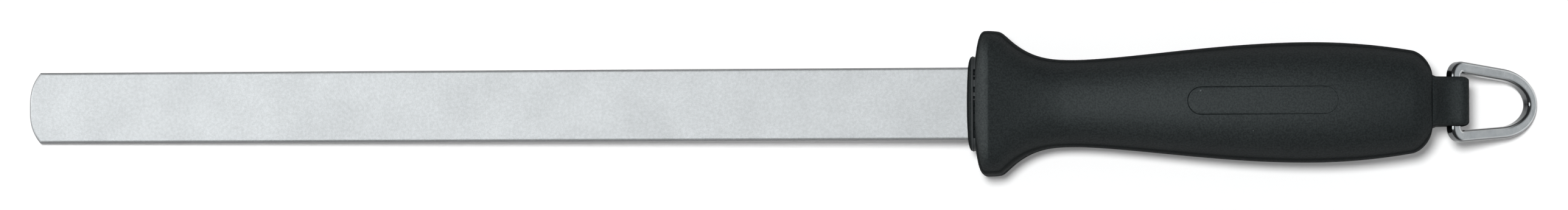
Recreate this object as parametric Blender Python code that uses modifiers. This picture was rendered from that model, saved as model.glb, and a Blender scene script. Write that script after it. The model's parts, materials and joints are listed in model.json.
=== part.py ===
"""Knife sharpening steel: a flat coated blade in a moulded handle with a guard and a hanging ring.

The tool is modelled along X, from the tip of the blade to the ring, and x = 0 is the front face of the
collar that the blade comes out of. A parent empty then lays the tool down on the plane z = 0, which the
tip, the guard and the free end of the ring touch. Lengths are in metres.
"""

import math

import bmesh
import bpy
from mathutils import Vector

# Fits
FIT_GAP = 0.0003  # between pieces that touch
BORE_CLEARANCE = 0.00015  # all round the wire of the ring in its bore

# Blade
BLADE_LENGTH = 0.2600  # from the collar to the tip
BLADE_WIDTH = 0.0200  # at the collar
BLADE_TIP_WIDTH = 0.0196
BLADE_THICKNESS = 0.0050
BLADE_EDGE = 0.0007  # rounding between the faces and the sides
TIP_SAG = 0.0031  # from the corners of the tip out to its middle
TIP_POWER = 2.5  # 2 is a parabola, and more is flatter in the middle

# Tang, the bare end of the bar that the handle holds
ROOT_STEP = 0.0005  # bare bar inside the sides of the coated blade
COAT = 0.0003  # bare bar below the coated faces
TANG_WIDTH = 0.0120  # behind the shoulder
TANG_CORNER = 0.0015
TANG_LAP = 0.0100  # how far the bare bar runs on inside the coated blade

# Pins that lock the tang in the core
PIN_RADIUS = 0.0020
PIN_SETBACK = 0.0180  # from the shoulder and from the end of the tang

# Collar and seal
FLANGE_EDGE = 0.0013  # rounding round the front face, along the tool
FLANGE_INSET = 0.0029  # the same rounding, across the tool
FLANGE_LIP = 0.0001  # straight rim behind the rounding
FLANGE_RIM = 0.0013  # flange beyond the spigot
FLANGE_CORNER = 0.0042
SPIGOT_WALL = 0.0018
SPIGOT_LENGTH = 0.0058
SEAL_THICKNESS = 0.0004

# Core that is moulded round the tang
CORE_WALL = 0.0026
CORE_CORNER = 0.0022
CORE_CAP = 0.0080  # behind the end of the tang
RIB_COUNT = 4
RIB_PITCH = 0.0100
RIB_WIDTH = 0.0030
RIB_HEIGHT = 0.0012

# Grip, with lengths measured from the front face of the guard
GRIP_LENGTH = 0.1251
GUARD_WIDTH = 0.0396
GUARD_DEPTH = 0.0300
GUARD_EDGE_LENGTH = 0.0036  # rounding of the front edge, along the tool
GUARD_EDGE_INSET = 0.0060  # the same rounding, across the tool
GUARD_LAND = 0.0042  # level stretch of the rim, seen from above
GUARD_SQUARENESS = 4.6  # 2 is an ellipse, and more is closer to a rectangle
FLANK_POWER = 2.95  # how fast the width falls behind the guard
RIDGE_POWER = 2.2  # how fast the depth falls behind the guard
NECK_AT = 0.0274
NECK_WIDTH = 0.0239
NECK_DEPTH = 0.0205
BELLY_AT = 0.0915
BELLY_WIDTH = 0.0330
BELLY_DEPTH = 0.0270
SWELL_EASE = 0.82  # under 1 swells early between the neck and the belly
GRIP_SQUARENESS = 2.3
END_WIDTH = 0.0283  # where the rounded end begins
END_DEPTH = 0.0213
END_EDGE_LENGTH = 0.0057
REAR_WALL = 0.0200  # solid grip behind the core

# Lug and ring
PIVOT_AT = 0.0061  # behind the end of the grip
LUG_WIDTH = 0.0136
LUG_ROOT_DEPTH = 0.0118  # at the grip, from where it tapers to the rear
LUG_WALL = 0.0019  # above and below the bore, at the rear
LUG_END_WALL = 0.0016  # behind the bore
LUG_EDGE = 0.0013
LUG_SQUARENESS = 7.0
LUG_BLEND = 0.0009  # from the end of the grip to the full lug
WIRE_SIZE = 0.0034  # square wire
WIRE_CORNER = 0.0007
RING_REACH = 0.0304  # from the pivot to the far outside of the ring
RING_END_LENGTH = 0.0085  # far end of the centre line, half an ellipse
RING_END_WIDTH = 0.0138
RING_SIDE_GAP = 0.0009  # between the lug and the legs
RING_BASE_BEND = 0.0022
STUB_GAP = 0.0010  # between the two ends of the wire inside the lug

# Fineness of the meshes
WELD = 1e-6
ARC_STEPS = 6
TIP_STEPS = 20
ROUND_SIDES = 28
SECTION_POINTS = 36
EDGE_STEPS = 6
BEVEL_STEPS = 3
FLANK_STEPS = 10
FLANK_CROWDING = 1.3  # over 1 puts more sections near the guard
SWELL_STEPS = 8
TAIL_STEPS = 5
END_STEPS = 20
SMOOTH_ANGLE = math.radians(35)
SHARP_ANGLE = math.radians(60)

# Places along the tool that follow from the sizes above
FLANGE_THICKNESS = FLANGE_EDGE + FLANGE_LIP
GUARD_FACE = FLANGE_THICKNESS + SEAL_THICKNESS + 2 * FIT_GAP
CREST = GUARD_FACE + GUARD_EDGE_LENGTH
NECK = GUARD_FACE + NECK_AT
BELLY = GUARD_FACE + BELLY_AT
GRIP_END = GUARD_FACE + GRIP_LENGTH
PIVOT = GRIP_END + PIVOT_AT
SHOULDER = FLANGE_THICKNESS + SPIGOT_LENGTH
CORE_FRONT = SHOULDER + FIT_GAP
CORE_REAR = GRIP_END - REAR_WALL
TANG_END = CORE_REAR - CORE_CAP
PIN_PLACES = {"front": SHOULDER + PIN_SETBACK, "rear": TANG_END - PIN_SETBACK}

# Widths and depths that follow from what is inside
ROOT_WIDTH = BLADE_WIDTH - 2 * ROOT_STEP
TANG_THICKNESS = BLADE_THICKNESS - 2 * COAT
SLOT_WIDTH = ROOT_WIDTH + 2 * FIT_GAP
SLOT_DEPTH = TANG_THICKNESS + 2 * FIT_GAP
SPIGOT_WIDTH = SLOT_WIDTH + 2 * SPIGOT_WALL
SPIGOT_DEPTH = SLOT_DEPTH + 2 * SPIGOT_WALL
SPIGOT_CORNER = FLANGE_CORNER - FLANGE_RIM
FLANGE_WIDTH = SPIGOT_WIDTH + 2 * FLANGE_RIM
FLANGE_DEPTH = SPIGOT_DEPTH + 2 * FLANGE_RIM
CORE_WIDTH = TANG_WIDTH + 2 * (FIT_GAP + CORE_WALL)
CORE_DEPTH = TANG_THICKNESS + 2 * (FIT_GAP + CORE_WALL)
PIN_HOLE = PIN_RADIUS + FIT_GAP
WIRE_DIAGONAL = math.sqrt(2) * (WIRE_SIZE / 2 - WIRE_CORNER) + WIRE_CORNER
BORE_RADIUS = (WIRE_DIAGONAL + BORE_CLEARANCE) / math.cos(math.pi / ROUND_SIDES)
LUG_DEPTH = 2 * (BORE_RADIUS + LUG_WALL)
LUG_REAR = PIVOT + BORE_RADIUS + LUG_END_WALL


def clear_scene():
    for item in list(bpy.data.objects):
        bpy.data.objects.remove(item, do_unlink=True)


def new_collection(name):
    collection = bpy.data.collections.new(name)
    bpy.context.scene.collection.children.link(collection)
    return collection


def finish(name, colour, roughness, metallic):
    material = bpy.data.materials.new(name)
    material.use_nodes = True
    shader = material.node_tree.nodes["Principled BSDF"]
    shader.inputs["Base Color"].default_value = (*colour, 1.0)
    shader.inputs["Roughness"].default_value = roughness
    shader.inputs["Metallic"].default_value = metallic
    return material


def add_part(name, mesh, material):
    """A sub-part, shaded smooth and hung on the parent empty of the tool."""
    mesh.shade_smooth()
    mesh.set_sharp_from_angle(angle=SMOOTH_ANGLE)
    mesh.materials.append(material)
    part = bpy.data.objects.new(name, mesh)
    parts.objects.link(part)
    part.parent = tool
    return part


def add_helper(name, mesh):
    """A shape that is only joined to a part or cut out of one."""
    helper = bpy.data.objects.new(name, mesh)
    cutters.objects.link(helper)
    helper.parent = tool
    helper.hide_render = True
    helper.display_type = "WIRE"
    return helper


def combine(part, helper, operation):
    modifier = part.modifiers.new(helper.name, "BOOLEAN")
    modifier.operation = operation
    modifier.object = helper


def rounded(corners, radii, closed=True):
    """The polygon or polyline through the corners, with an arc of its own radius in place of each corner."""
    points = []
    count = len(corners)
    for i, (corner, radius) in enumerate(zip(corners, radii)):
        here = Vector(corner)
        if not closed and i in (0, count - 1):
            points.append(here)
            continue
        back = (Vector(corners[i - 1]) - here).normalized()
        ahead = (Vector(corners[(i + 1) % count]) - here).normalized()
        half = back.angle(ahead) / 2
        centre = here + (back + ahead).normalized() * radius / math.sin(half)
        start = here + back * radius / math.tan(half) - centre
        turn = math.copysign(math.pi - 2 * half, ahead.cross(back))
        for step in range(ARC_STEPS + 1):
            angle = turn * step / ARC_STEPS
            c, s = math.cos(angle), math.sin(angle)
            points.append(centre + Vector((c * start.x - s * start.y, s * start.x + c * start.y)))
    return points


def rounded_rectangle(width, depth, radius):
    w, d = width / 2, depth / 2
    return rounded([(w, d), (-w, d), (-w, -d), (w, -d)], [radius] * 4)


def meshed(name, curve):
    """The curve as a mesh, with its caps welded on."""
    guide = bpy.data.objects.new(name + "_guide", curve)
    bpy.context.scene.collection.objects.link(guide)
    graph = bpy.context.evaluated_depsgraph_get()
    mesh = bpy.data.meshes.new_from_object(guide.evaluated_get(graph))
    bpy.data.objects.remove(guide)
    shape = bmesh.new()
    shape.from_mesh(mesh)
    bmesh.ops.remove_doubles(shape, verts=shape.verts, dist=WELD)
    bmesh.ops.recalc_face_normals(shape, faces=shape.faces)
    shape.to_mesh(mesh)
    shape.free()
    mesh.name = name
    return mesh


def add_spline(curve, outline, closed):
    spline = curve.splines.new("POLY")
    spline.points.add(len(outline) - 1)
    for point, (x, y) in zip(spline.points, outline):
        point.co = (x, y, 0, 1)
    spline.use_cyclic_u = closed


def plate(name, outlines, thickness):
    """A flat plate in XY, half above and half below z = 0. An outline inside another is a hole."""
    curve = bpy.data.curves.new(name, "CURVE")
    curve.dimensions = "2D"
    curve.fill_mode = "BOTH"
    curve.extrude = thickness / 2
    for outline in outlines:
        add_spline(curve, outline, closed=True)
    return meshed(name, curve)


def set_along_x(item, start, end):
    """Stands a plate across the tool, so that its thickness runs from start to end."""
    item.rotation_euler = (math.pi / 2, 0, math.pi / 2)
    item.location.x = (start + end) / 2


def bar(name, width, depth, radius, start, end):
    """A helper of rounded rectangular section along the tool."""
    helper = add_helper(name, plate(name, [rounded_rectangle(width, depth, radius)], end - start))
    set_along_x(helper, start, end)
    return helper


def cylinder(name, radius, length):
    shape = bmesh.new()
    bmesh.ops.create_cone(
        shape, cap_ends=True, segments=ROUND_SIDES, radius1=radius, radius2=radius, depth=length
    )
    mesh = bpy.data.meshes.new(name)
    shape.to_mesh(mesh)
    shape.free()
    return mesh


def loft(name, sections):
    """A closed skin through sections that all have as many points."""
    shape = bmesh.new()
    rings = [[shape.verts.new(point) for point in section] for section in sections]
    for near, far in zip(rings, rings[1:]):
        for i in range(len(near)):
            shape.faces.new((near[i - 1], near[i], far[i], far[i - 1]))
    shape.faces.new(rings[0])
    shape.faces.new(rings[-1])
    bmesh.ops.recalc_face_normals(shape, faces=shape.faces)
    mesh = bpy.data.meshes.new(name)
    shape.to_mesh(mesh)
    shape.free()
    return mesh


def between(start, end, share):
    return start + (end - start) * share


def quarter(steps):
    """Angles over a quarter turn."""
    return [math.pi / 2 * step / steps for step in range(steps + 1)]


def blade_outline():
    """The coated bar seen on its face: straight sides, and a tip that is flat in the middle."""
    root = -FIT_GAP
    half_root, half_tip = BLADE_WIDTH / 2, BLADE_TIP_WIDTH / 2
    points = [(root, half_root)]
    for step in range(TIP_STEPS + 1):
        across = math.cos(math.pi * step / TIP_STEPS)
        points.append((TIP_SAG * abs(across) ** TIP_POWER - BLADE_LENGTH, half_tip * across))
    return points + [(root, -half_root)]


def tang_outline(grow=0.0):
    """The bare bar: a wide root, a shoulder and a narrow tang. A slot for it is grown all round."""
    wide, narrow = ROOT_WIDTH / 2 + grow, TANG_WIDTH / 2 + grow
    front, shoulder, end = -TANG_LAP, SHOULDER + grow, TANG_END + grow
    upper = [(front, wide), (shoulder, wide), (shoulder, narrow), (end, narrow)]
    lower = [(x, -y) for x, y in reversed(upper)]
    radii = [TANG_CORNER] * len(upper + lower)
    return rounded(upper + lower, radii)


def make_blade(material):
    blade = add_part("blade", plate("blade", [blade_outline()], BLADE_THICKNESS), material)
    edge = blade.modifiers.new("edges", "BEVEL")
    edge.width = BLADE_EDGE
    edge.segments = BEVEL_STEPS
    edge.limit_method = "ANGLE"
    edge.angle_limit = SHARP_ANGLE
    combine(blade, add_helper("tang", plate("tang", [tang_outline()], TANG_THICKNESS)), "UNION")
    for place in PIN_PLACES.values():
        hole = add_helper("tang_hole", cylinder("tang_hole", PIN_HOLE, 2 * BLADE_THICKNESS))
        hole.location.x = place
        combine(blade, hole, "DIFFERENCE")


def make_collar(material):
    """A rounded flange round the root of the blade, with a spigot that plugs the mouth of the grip."""
    sections = []
    for angle in quarter(EDGE_STEPS):
        x = FLANGE_EDGE * (1 - math.cos(angle))
        inset = FLANGE_INSET * (1 - math.sin(angle))
        wide, deep = FLANGE_WIDTH - 2 * inset, FLANGE_DEPTH - 2 * inset
        outline = rounded_rectangle(wide, deep, FLANGE_CORNER - inset)
        sections.append([(x, y, z) for y, z in outline])
    sections.append([(FLANGE_THICKNESS, y, z) for _, y, z in sections[-1]])
    collar = add_part("front_collar", loft("front_collar", sections), material)
    inside = FLANGE_THICKNESS / 2
    spigot = bar("spigot", SPIGOT_WIDTH, SPIGOT_DEPTH, SPIGOT_CORNER, inside, SHOULDER)
    combine(collar, spigot, "UNION")
    slot = bar("collar_slot", SLOT_WIDTH, SLOT_DEPTH, FIT_GAP, -inside, SHOULDER + inside)
    combine(collar, slot, "DIFFERENCE")


def make_seal(material):
    """A washer between the flange and the guard, with the spigot through it."""
    outside = rounded_rectangle(FLANGE_WIDTH, FLANGE_DEPTH, FLANGE_CORNER)
    grow = 2 * FIT_GAP
    inside = rounded_rectangle(SPIGOT_WIDTH + grow, SPIGOT_DEPTH + grow, SPIGOT_CORNER + FIT_GAP)
    seal = add_part("collar_seal", plate("collar_seal", [outside, inside], SEAL_THICKNESS), material)
    start = FLANGE_THICKNESS + FIT_GAP
    set_along_x(seal, start, start + SEAL_THICKNESS)


def core_bars(name, grow):
    """The core and its keying ribs as helpers. The hollow for them in the grip is grown all round."""
    wide, deep = CORE_WIDTH + 2 * grow, CORE_DEPTH + 2 * grow
    bars = [bar(name, wide, deep, CORE_CORNER + grow, CORE_FRONT - grow, CORE_REAR + grow)]
    for rib in range(RIB_COUNT):
        middle = PIN_PLACES["rear"] + (rib - (RIB_COUNT - 1) / 2) * RIB_PITCH
        half = RIB_WIDTH / 2 + grow
        rise = 2 * RIB_HEIGHT
        corner = CORE_CORNER + RIB_HEIGHT + grow
        bars.append(bar(f"{name}_rib", wide + rise, deep + rise, corner, middle - half, middle + half))
    return bars


def make_core(material):
    """The first moulding, with a slot for the tang, cross holes for the pins and ribs that key the grip."""
    body, *ribs = core_bars("core", 0.0)
    core = add_part("tang_core", body.data, material)
    set_along_x(core, CORE_FRONT, CORE_REAR)
    bpy.data.objects.remove(body)
    for rib in ribs:
        combine(core, rib, "UNION")
    slot = add_helper("core_slot", plate("core_slot", [tang_outline(FIT_GAP)], SLOT_DEPTH))
    combine(core, slot, "DIFFERENCE")
    for place in PIN_PLACES.values():
        hole = add_helper("core_hole", cylinder("core_hole", PIN_HOLE, 2 * CORE_DEPTH))
        hole.location.x = place
        combine(core, hole, "DIFFERENCE")


def make_pins(material):
    for name, place in PIN_PLACES.items():
        pin = add_part(f"tang_pin_{name}", cylinder(f"tang_pin_{name}", PIN_RADIUS, CORE_DEPTH), material)
        pin.location.x = place


def superellipse(x, half_width, half_depth, squareness):
    """One section of the grip, as points round the tool at x."""
    points = []
    for i in range(SECTION_POINTS):
        angle = 2 * math.pi * i / SECTION_POINTS
        c, s = math.cos(angle), math.sin(angle)
        y = math.copysign(abs(c) ** (2 / squareness), c) * half_width
        z = math.copysign(abs(s) ** (2 / squareness), s) * half_depth
        points.append((x, y, z))
    return points


def guard_stations():
    """The front edge of the guard, rounded from its face to its crest."""
    for angle in quarter(EDGE_STEPS):
        x = GUARD_FACE + GUARD_EDGE_LENGTH * (1 - math.cos(angle))
        inset = GUARD_EDGE_INSET * (1 - math.sin(angle))
        yield x, GUARD_WIDTH / 2 - inset, GUARD_DEPTH / 2 - inset, GUARD_SQUARENESS


def flank_stations():
    """From the crest down to the neck. The depth falls at once, and the width after a level land."""
    for step in range(1, FLANK_STEPS + 1):
        x = between(CREST, NECK, (step / FLANK_STEPS) ** FLANK_CROWDING)
        along = max(0.0, (x - CREST - GUARD_LAND) / (NECK - CREST - GUARD_LAND))
        fall = (1 - along) ** FLANK_POWER
        share = (x - CREST) / (NECK - CREST)
        drop = (1 - share) ** RIDGE_POWER
        width = between(NECK_WIDTH, GUARD_WIDTH, fall)
        depth = between(NECK_DEPTH, GUARD_DEPTH, drop)
        yield x, width / 2, depth / 2, between(GRIP_SQUARENESS, GUARD_SQUARENESS, drop)


def swell_stations():
    """From the neck to the belly."""
    for step in range(1, SWELL_STEPS + 1):
        share = step / SWELL_STEPS
        eased = share**SWELL_EASE
        rise = eased * eased * (3 - 2 * eased)
        width = between(NECK_WIDTH, BELLY_WIDTH, rise)
        depth = between(NECK_DEPTH, BELLY_DEPTH, rise)
        yield between(NECK, BELLY, share), width / 2, depth / 2, GRIP_SQUARENESS


def tail_size(x, edge):
    """Width and depth behind the belly. They fall faster and faster, also past the edge of the end."""
    share = ((x - BELLY) / (edge - BELLY)) ** 2
    return between(BELLY_WIDTH, END_WIDTH, share), between(BELLY_DEPTH, END_DEPTH, share)


def tail_stations():
    """From the belly to the rounded end of the grip, which closes in on the lug."""
    edge = GRIP_END - END_EDGE_LENGTH
    for step in range(1, TAIL_STEPS + 1):
        x = between(BELLY, edge, step / TAIL_STEPS)
        width, depth = tail_size(x, edge)
        yield x, width / 2, depth / 2, GRIP_SQUARENESS
    for angle in quarter(EDGE_STEPS)[1:-1]:
        x = edge + END_EDGE_LENGTH * math.sin(angle)
        fall = 1 - math.cos(angle)
        width, depth = tail_size(x, edge)
        width, depth = between(width, LUG_WIDTH, fall), between(depth, LUG_ROOT_DEPTH, fall)
        yield x, width / 2, depth / 2, between(GRIP_SQUARENESS, LUG_SQUARENESS, fall**3)


def lug_stations():
    """The lug that carries the ring. It tapers to a rounded rear end."""
    yield GRIP_END + LUG_BLEND, LUG_WIDTH / 2, LUG_ROOT_DEPTH / 2, LUG_SQUARENESS
    for angle in quarter(EDGE_STEPS // 2):
        x = LUG_REAR - LUG_EDGE * (1 - math.sin(angle))
        inset = LUG_EDGE * (1 - math.cos(angle))
        yield x, LUG_WIDTH / 2 - inset, LUG_DEPTH / 2 - inset, LUG_SQUARENESS


def make_grip(material):
    """The outer moulding: guard, grip and lug in one, hollow for the core and open at the front."""
    stations = [*guard_stations(), *flank_stations(), *swell_stations(), *tail_stations(), *lug_stations()]
    sections = [superellipse(*station) for station in stations]
    grip = add_part("handle_grip", loft("handle_grip", sections), material)
    grow = 2 * FIT_GAP
    corner = SPIGOT_CORNER + FIT_GAP
    mouth = bar("mouth", SPIGOT_WIDTH + grow, SPIGOT_DEPTH + grow, corner, 0.0, CORE_FRONT)
    combine(grip, mouth, "DIFFERENCE")
    for hollow in core_bars("hollow", FIT_GAP):
        combine(grip, hollow, "DIFFERENCE")
    bore = add_helper("ring_bore", cylinder("ring_bore", BORE_RADIUS, 2 * LUG_WIDTH))
    bore.location.x = PIVOT
    bore.rotation_euler.x = math.pi / 2
    combine(grip, bore, "DIFFERENCE")


def tangent_angle(offset, radius, side):
    """Where a line from the offset point touches a circle about the origin, as an angle on that circle."""
    return math.atan2(offset.y, offset.x) - side * math.acos(radius / offset.length)


def ring_path():
    """Centre line of the wire from the pivot: out of the lug, round the far end and back into the lug."""
    half_wire = WIRE_SIZE / 2
    base = LUG_WIDTH / 2 + RING_SIDE_GAP + half_wire
    stub = STUB_GAP / 2
    length, half = RING_END_LENGTH, RING_END_WIDTH / 2
    middle = RING_REACH - half_wire - length

    # Stretched across, the elliptical end is a circle, so each leg is a tangent to that circle.
    stretch = length / half
    angles = []
    for side in (1, -1):
        leg_start = Vector((-middle, side * base * stretch))
        angles.append(tangent_angle(leg_start, length, side))
    end = []
    for step in range(END_STEPS + 1):
        angle = between(angles[0], angles[1], step / END_STEPS)
        end.append((middle + length * math.cos(angle), half * math.sin(angle)))

    bends = [0, RING_BASE_BEND, 0]
    leg_out = rounded([(0, stub), (0, base), end[0]], bends, closed=False)
    leg_back = rounded([end[-1], (0, -base), (0, -stub)], bends, closed=False)
    return leg_out + end[1:-1] + leg_back


def make_ring(material, droop):
    """Square wire bent to a ring and sprung into the lug. Its origin is on the axis it swings about."""
    section = bpy.data.curves.new("wire_section", "CURVE")
    section.dimensions = "2D"
    section.fill_mode = "NONE"
    add_spline(section, rounded_rectangle(WIRE_SIZE, WIRE_SIZE, WIRE_CORNER), closed=True)
    section_guide = add_helper("wire_section", section)
    wire = bpy.data.curves.new("hanging_ring", "CURVE")
    wire.dimensions = "3D"
    wire.twist_mode = "Z_UP"
    wire.bevel_mode = "OBJECT"
    wire.bevel_object = section_guide
    wire.use_fill_caps = True
    add_spline(wire, ring_path(), closed=False)
    ring = add_part("hanging_ring", meshed("hanging_ring", wire), material)
    ring.location.x = PIVOT
    ring.rotation_euler.y = droop


def lying_tilt():
    """How far the tool tips forward when the guard and the tip of the blade lie on a table."""
    return math.atan2(GUARD_DEPTH / 2 - BLADE_THICKNESS / 2, CREST + BLADE_LENGTH)


def ring_droop(tilt):
    """How far the ring hangs below the axis of the tool before its far end meets the table."""
    height = (PIVOT - CREST) * math.sin(tilt) + GUARD_DEPTH / 2 * math.cos(tilt)
    along = RING_REACH - WIRE_CORNER
    below = WIRE_SIZE / 2 - WIRE_CORNER
    level = math.asin((height - WIRE_CORNER) / math.hypot(along, below)) - math.atan2(below, along)
    return level + tilt


def lay_down(tilt):
    """Tips the tool onto the plane z = 0 and centres it over the origin."""
    tool.rotation_euler.y = -tilt
    bpy.context.view_layer.update()
    graph = bpy.context.evaluated_depsgraph_get()
    corners = []
    for part in parts.objects:
        if part.type == "MESH":
            placed = part.evaluated_get(graph)
            corners += [placed.matrix_world @ vertex.co for vertex in placed.data.vertices]
    lowest = [min(corner[axis] for corner in corners) for axis in range(3)]
    highest = [max(corner[axis] for corner in corners) for axis in range(3)]
    middle = [(low + high) / 2 for low, high in zip(lowest, highest)]
    tool.location = (-middle[0], -middle[1], -lowest[2])


clear_scene()
parts = new_collection("knife_sharpening_steel")
cutters = new_collection("cutters")
tool = bpy.data.objects.new("tool", None)
parts.objects.link(tool)

black_plastic = finish("black_plastic", (0.021, 0.024, 0.025), 0.5, 0.0)
tilt = lying_tilt()
make_blade(finish("diamond_coat", (0.60, 0.63, 0.66), 0.5, 0.9))
make_collar(finish("collar_plastic", (0.018, 0.020, 0.021), 0.45, 0.0))
make_seal(finish("seal_rubber", (0.028, 0.030, 0.031), 0.7, 0.0))
make_core(finish("core_plastic", (0.10, 0.10, 0.10), 0.6, 0.0))
make_pins(finish("pin_steel", (0.55, 0.55, 0.56), 0.35, 1.0))
make_grip(black_plastic)
make_ring(finish("nickel_wire", (0.62, 0.63, 0.64), 0.25, 1.0), ring_droop(tilt))
lay_down(tilt)
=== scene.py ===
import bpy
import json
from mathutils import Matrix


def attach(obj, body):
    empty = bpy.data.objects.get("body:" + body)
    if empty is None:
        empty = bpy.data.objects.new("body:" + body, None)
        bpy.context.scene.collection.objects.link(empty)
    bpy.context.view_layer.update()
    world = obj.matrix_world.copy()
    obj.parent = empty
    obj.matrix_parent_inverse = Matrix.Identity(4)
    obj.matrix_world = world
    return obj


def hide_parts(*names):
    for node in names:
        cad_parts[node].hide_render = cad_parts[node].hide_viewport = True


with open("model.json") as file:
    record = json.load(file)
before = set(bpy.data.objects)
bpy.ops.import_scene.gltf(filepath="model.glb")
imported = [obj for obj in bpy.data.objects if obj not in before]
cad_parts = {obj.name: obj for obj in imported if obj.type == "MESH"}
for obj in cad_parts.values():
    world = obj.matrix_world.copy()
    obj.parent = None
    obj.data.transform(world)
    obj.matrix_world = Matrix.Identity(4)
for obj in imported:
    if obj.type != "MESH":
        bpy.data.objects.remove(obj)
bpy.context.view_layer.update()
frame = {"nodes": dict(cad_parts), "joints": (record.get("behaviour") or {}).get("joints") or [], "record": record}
print("frame pieces:", sorted(frame["nodes"]))

# %% Tools of the lesson
import json
import math

import bmesh
import bpy
import numpy as np
from mathutils import Matrix, Vector, noise

print("Blender", bpy.app.version_string)

# %% [markdown]
# ## How the steel lies
# The real steel lies on a table on three points: the tip of the blade, the guard and the free end
# of the ring. So the blade climbs a little towards the handle. Every piece could be modelled
# straight in table directions, but then each slope would have to be worked out again. It is
# easier to model along the tool, with x = 0 at the front of the collar, and to lay each finished
# piece down with one matrix.

# %% Directions of the tool
flat = next(mount for mount in frame["record"]["mounts"] if mount["name"] == "blade_flat")
tilt = math.atan2(-flat["axis"][0], flat["axis"][2])
turn = Matrix.Rotation(-tilt, 4, "Y")
unturn = np.array(turn.inverted())[:3, :3]


def along_tool(node):
    """Corners of a frame piece, measured along the tool and across it."""
    return np.array([vertex.co for vertex in frame["nodes"][node].data.vertices]) @ unturn.T


blade_corners = along_tool("blade")
start = np.array([along_tool("front_collar")[:, 0].min(), 0.0, np.ptp(blade_corners[:, 2]) / 2])
start[2] += blade_corners[:, 2].min()
tool = turn @ Matrix.Translation(start)


def span(node):
    """Lowest and highest corner of a frame piece, from the front of the collar."""
    corners = along_tool(node) - start
    return Vector(corners.min(0)), Vector(corners.max(0))


print(f"the tool rises by {math.degrees(tilt):.2f} degrees")

# %% [markdown]
# ## Skins
# Most pieces here are round or rounded all along, like a turned or moulded thing. A skin through
# a row of rings gives full control over such a form: each ring is one cross-section, and
# neighbouring rings are joined by quads. A modifier stack could do it too, but the rings let
# every section follow a formula.

# %% From rings to a piece
WELD = 1e-7  # points closer than this become one
CREASE = math.radians(38)  # steeper edges are shaded sharp


def finished_mesh(name, points, faces):
    """Welds faces to one smooth piece that stays sharp where it turns a corner."""
    shape = bmesh.new()
    corners = [shape.verts.new(point) for point in points]
    for face in faces:
        shape.faces.new([corners[i] for i in face])
    bmesh.ops.remove_doubles(shape, verts=shape.verts, dist=WELD)
    bmesh.ops.recalc_face_normals(shape, faces=shape.faces)
    mesh = bpy.data.meshes.new(name)
    shape.to_mesh(mesh)
    shape.free()
    mesh.shade_smooth()
    mesh.set_sharp_from_angle(angle=CREASE)
    piece = bpy.data.objects.new(name, mesh)
    bpy.context.scene.collection.objects.link(piece)
    return piece


def lid(count):
    """Closes a ring with one face."""
    return [tuple(range(count))]


def skin(name, rings, loop=False, cap=lid):
    """A closed skin through rings of equally many points.

    A loop also joins the last ring to the first. Any other skin gets a cap at both ends.
    """
    count, rows = len(rings[0]), len(rings)
    points = [point for ring in rings for point in ring]
    faces = []
    for row in range(rows if loop else rows - 1):
        near, far = row * count, (row + 1) % rows * count
        for i in range(count):
            j = (i + 1) % count
            faces.append((near + i, near + j, far + j, far + i))
    for row in () if loop else (0, rows - 1):
        faces += [tuple(row * count + i for i in face) for face in cap(count)]
    return finished_mesh(name, points, faces)


print("skins are welded at", WELD, "m")

# %% [markdown]
# A rounded cross-section can be a rectangle with arcs, or a superellipse: one formula that goes
# from an ellipse to nearly a rectangle as its power grows. The superellipse suits a moulded grip,
# whose sections change smoothly. Its points crowd at the corners, so they are spread again by
# their distance along the edge.

# %% Cross-sections
DENSE = np.linspace(0, math.pi / 2, 500)  # angles, before the points are spread


def quarter(half_width, half_depth, squareness, steps):
    """Evenly spread points of a quarter section, from the side up to the top."""
    y = half_width * np.cos(DENSE) ** (2 / squareness)
    z = half_depth * np.sin(DENSE) ** (2 / squareness)
    walked = np.concatenate([[0], np.cumsum(np.hypot(np.diff(y), np.diff(z)))])
    even = np.linspace(0, walked[-1], steps + 1)
    return np.stack([np.interp(even, walked, y), np.interp(even, walked, z)], axis=1)


def upper_half(half_width, half_depth, squareness, steps):
    """From the +Y side over the top to the -Y side."""
    near = quarter(half_width, half_depth, squareness, steps)
    return np.concatenate([near, near[-2::-1] * (-1, 1)])


def section(x, half_width, half_depth, squareness, steps=24):
    """A whole ring at x."""
    over = upper_half(half_width, half_depth, squareness, steps)
    ring = np.concatenate([over[:-1], -over[:-1]])
    return [(x, y, z) for y, z in ring]


print("one ring of the collar has", len(section(0, 1, 1, 2)), "points")

# %% [markdown]
# ## Finishes as node trees
# Each finish is a small node tree on the Principled shader. A helper that adds one node, sets its
# values and links its inputs keeps the trees short enough to read.

# %% One node at a time
def plug(tree, node, links):
    """Gives each named input of a node a value, or the socket that feeds it."""
    for name, value in links.items():
        if isinstance(value, bpy.types.NodeSocket):
            tree.links.new(value, node.inputs[name])
        else:
            node.inputs[name].default_value = value


def add_node(tree, kind, links=None, **settings):
    """A new node with its settings and its inputs."""
    made = tree.nodes.new("ShaderNode" + kind)
    for name, value in settings.items():
        setattr(made, name, value)
    plug(tree, made, links or {})
    return made


def new_finish(name):
    """A material, its tree, its shader and a socket with the place on the piece in metres."""
    material = bpy.data.materials.new(name)
    material.use_nodes = True
    tree = material.node_tree
    place = add_node(tree, "TexCoord").outputs["Object"]
    return material, tree, tree.nodes["Principled BSDF"], place


print("helpers for nodes:", plug.__name__, add_node.__name__, new_finish.__name__)

# %% Patterns
NOISE_LOW, NOISE_HIGH = 0.3, 0.7  # most of a cloud noise lies between these


def clouds(tree, place, per_metre, detail=2.0, roughness=0.5):
    """Soft noise around a half."""
    links = {"Vector": place, "Scale": per_metre, "Detail": detail, "Roughness": roughness}
    return add_node(tree, "TexNoise", links).outputs["Fac"]


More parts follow.
